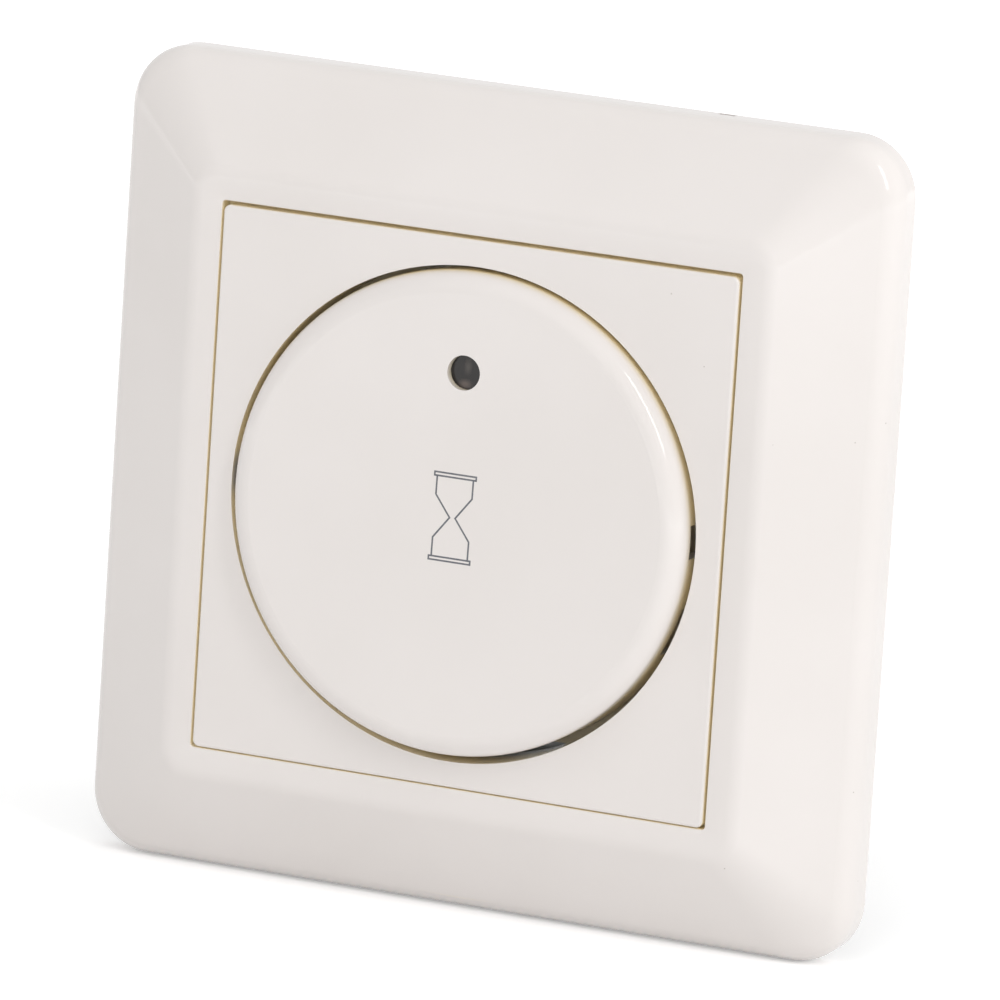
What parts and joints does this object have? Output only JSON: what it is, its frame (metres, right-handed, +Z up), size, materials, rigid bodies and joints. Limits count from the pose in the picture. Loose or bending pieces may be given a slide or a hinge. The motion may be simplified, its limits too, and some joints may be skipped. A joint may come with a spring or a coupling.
{
  "type": "ventilation boost timer",
  "caption": "Flush-mounted wall timer with a square cover frame, a round press cap with an indicator window, and a relay unit that sits in a wall box.",
  "frame": {"origin": "midway between the two box screws, in the plane of the wall's face", "axes": "+X to the right seen from the room, +Y into the wall, +Z up the wall"},
  "size_m": [0.0834, 0.0394, 0.0834],
  "materials": {
    "ivory_gloss": "glossy moulded thermoplastic, warm white",
    "smoked_window": "dark smoked translucent plastic",
    "grey_ink": "grey ink filling fine engraved lines",
    "bright_steel": "drawn bright steel",
    "zinc_plate": "zinc plated steel",
    "grey_moulding": "grey polyamide, fine matt texture",
    "cream_moulding": "cream polyamide, satin",
    "black_moulding": "black moulded plastic",
    "board_green": "green solder mask on glass epoxy",
    "lamp_red": "tinted lamp resin",
    "clear_guide": "clear moulded guide",
    "trimmer_blue": "blue component coating",
    "ivory_nylon": "natural nylon",
    "copper_wire": "enamelled copper and bronze strip",
    "film_yellow": "moulded capacitor case",
    "can_aluminium": "drawn aluminium can",
    "brass": "plain brass"
  },
  "bodies": {
    "base": {"cover_frame": "ivory_gloss", "centre_plate": "ivory_gloss", "cap_hinge_pin": "bright_steel", "return_spring_left": "bright_steel", "return_spring_right": "bright_steel", "insert_front": "cream_moulding", "support_plate": "zinc_plate", "rear_housing": "grey_moulding", "housing_screws": "zinc_plate", "screw_sleeves": "zinc_plate", "circuit_board": "board_green", "switch_body": "black_moulding", "switch_dome": "bright_steel", "indicator_lamp": "lamp_red", "light_guide": "clear_guide", "trimmer_body": "trimmer_blue", "relay_base": "black_moulding", "relay_cover": "black_moulding", "relay_yoke": "zinc_plate", "relay_bobbin": "ivory_nylon", "relay_winding": "copper_wire", "relay_fixed_contact": "copper_wire", "film_capacitor": "film_yellow", "electrolytic_capacitor": "can_aluminium", "varistor": "trimmer_blue", "fuse_resistor": "trimmer_blue", "bridge_rectifier": "black_moulding", "microcontroller": "black_moulding", "chip_resistors": "black_moulding", "terminal_block": "grey_moulding", "terminal_bars": "brass"},
    "cap": {"push_cap": "ivory_gloss", "window_lens": "smoked_window", "hourglass_mark": "grey_ink"},
    "plunger": {"switch_plunger": "black_moulding"},
    "time_setting": {"trimmer_rotor": "ivory_nylon"},
    "armature": {"relay_armature": "zinc_plate", "relay_leaf_spring": "copper_wire"},
    "clamp_screw_1": {"terminal_screw_1": "zinc_plate"},
    "clamp_cage_1": {"terminal_cage_1": "brass"},
    "clamp_screw_2": {"terminal_screw_2": "zinc_plate"},
    "clamp_cage_2": {"terminal_cage_2": "brass"},
    "clamp_screw_3": {"terminal_screw_3": "zinc_plate"},
    "clamp_cage_3": {"terminal_cage_3": "brass"},
    "clamp_screw_4": {"terminal_screw_4": "zinc_plate"},
    "clamp_cage_4": {"terminal_cage_4": "brass"}
  },
  "joints": [
    {"name": "cap_press", "type": "hinge", "parent": "base", "child": "cap", "pos_m": [0, -0.007, 0.018], "axis": [1, 0, 0], "range_deg": [0, 2.2], "stiffness_Nm_per_rad": 0.5, "springref_deg": -5.73, "deforming": ["return_spring_left", "return_spring_right"]},
    {"name": "switch_travel", "type": "slide", "parent": "base", "child": "plunger", "axis": [0, 1, 0], "range_m": [0, 0.0005386]},
    {"name": "time_setting_turn", "type": "hinge", "parent": "base", "child": "time_setting", "pos_m": [-0.011, -0.001, 0.002], "axis": [0, -1, 0], "range_deg": [-130, 130]},
    {"name": "armature_pull", "type": "hinge", "parent": "base", "child": "armature", "pos_m": [-0.005, 0.01585, 0.0056], "axis": [1, 0, 0], "range_deg": [0, 3.5], "stiffness_Nm_per_rad": 0.02, "springref_deg": -11.46},
    {"name": "clamp_screw_1_turn", "type": "hinge", "parent": "base", "child": "clamp_screw_1", "pos_m": [-0.0075, 0.022, -0.0162], "axis": [0, -1, 0], "range_deg": [0, 1657]},
    {"name": "clamp_cage_1_rise", "type": "slide", "parent": "base", "child": "clamp_cage_1", "axis": [0, 1, 0], "range_m": [0, 0.0023]},
    {"name": "clamp_screw_2_turn", "type": "hinge", "parent": "base", "child": "clamp_screw_2", "pos_m": [-0.0025, 0.022, -0.0162], "axis": [0, -1, 0], "range_deg": [0, 1657]},
    {"name": "clamp_cage_2_rise", "type": "slide", "parent": "base", "child": "clamp_cage_2", "axis": [0, 1, 0], "range_m": [0, 0.0023]},
    {"name": "clamp_screw_3_turn", "type": "hinge", "parent": "base", "child": "clamp_screw_3", "pos_m": [0.0025, 0.022, -0.0162], "axis": [0, -1, 0], "range_deg": [0, 1657]},
    {"name": "clamp_cage_3_rise", "type": "slide", "parent": "base", "child": "clamp_cage_3", "axis": [0, 1, 0], "range_m": [0, 0.0023]},
    {"name": "clamp_screw_4_turn", "type": "hinge", "parent": "base", "child": "clamp_screw_4", "pos_m": [0.0075, 0.022, -0.0162], "axis": [0, -1, 0], "range_deg": [0, 1657]},
    {"name": "clamp_cage_4_rise", "type": "slide", "parent": "base", "child": "clamp_cage_4", "axis": [0, 1, 0], "range_m": [0, 0.0023]}
  ],
  "couplings": [
    {"joint": "switch_travel", "follows": "cap_press", "m_per_rad": 0.014},
    {"joint": "clamp_screw_1_turn", "follows": "clamp_cage_1_rise", "rad_per_m": 12566},
    {"joint": "clamp_screw_2_turn", "follows": "clamp_cage_2_rise", "rad_per_m": 12566},
    {"joint": "clamp_screw_3_turn", "follows": "clamp_cage_3_rise", "rad_per_m": 12566},
    {"joint": "clamp_screw_4_turn", "follows": "clamp_cage_4_rise", "rad_per_m": 12566}
  ]
}
